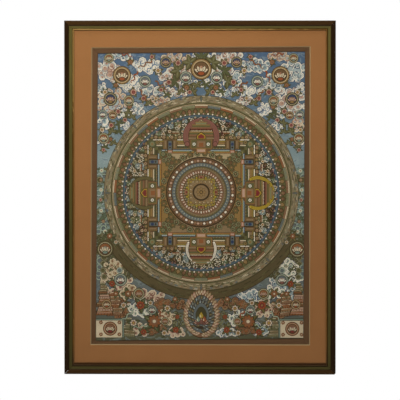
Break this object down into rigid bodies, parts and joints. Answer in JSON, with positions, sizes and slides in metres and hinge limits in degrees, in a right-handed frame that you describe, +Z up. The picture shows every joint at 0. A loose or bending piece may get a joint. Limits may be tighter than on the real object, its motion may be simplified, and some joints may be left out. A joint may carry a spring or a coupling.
{
  "type": "framed thangka painting",
  "caption": "Thangka painting of a mandala on cloth with sewn cloth borders, matted, glazed and held in a mitred wooden frame that hangs on a wall.",
  "frame": {"origin": "middle of the flat back face of the top rail, which hangs against the wall", "axes": "+Z up along the long side, +Y out of the back towards the wall, +X to the right seen from the front"},
  "size_m": [0.705, 0.024, 0.919],
  "materials": {
    "dark_wood": "dark walnut stain, satin",
    "green_wood": "olive green stain with a gilt bead, satin",
    "clear_glass": "clear picture glass",
    "salmon_board": "salmon mat board with a cream core, matt",
    "painted_cotton": "cotton, primed and painted in mineral colours, matt",
    "brown_cloth": "brown woven cloth, matt",
    "brown_board": "brown hardboard, matt"
  },
  "bodies": {
    "root": {"rail_top": "dark_wood", "rail_right": "dark_wood", "rail_bottom": "dark_wood", "rail_left": "dark_wood", "slip_top": "green_wood", "slip_right": "green_wood", "slip_bottom": "green_wood", "slip_left": "green_wood", "glass_pane": "clear_glass", "mat_board": "salmon_board", "painted_cloth": "painted_cotton", "border_top": "brown_cloth", "border_right": "brown_cloth", "border_bottom": "brown_cloth", "border_left": "brown_cloth", "backing_board": "brown_board"}
  },
  "joints": []
}
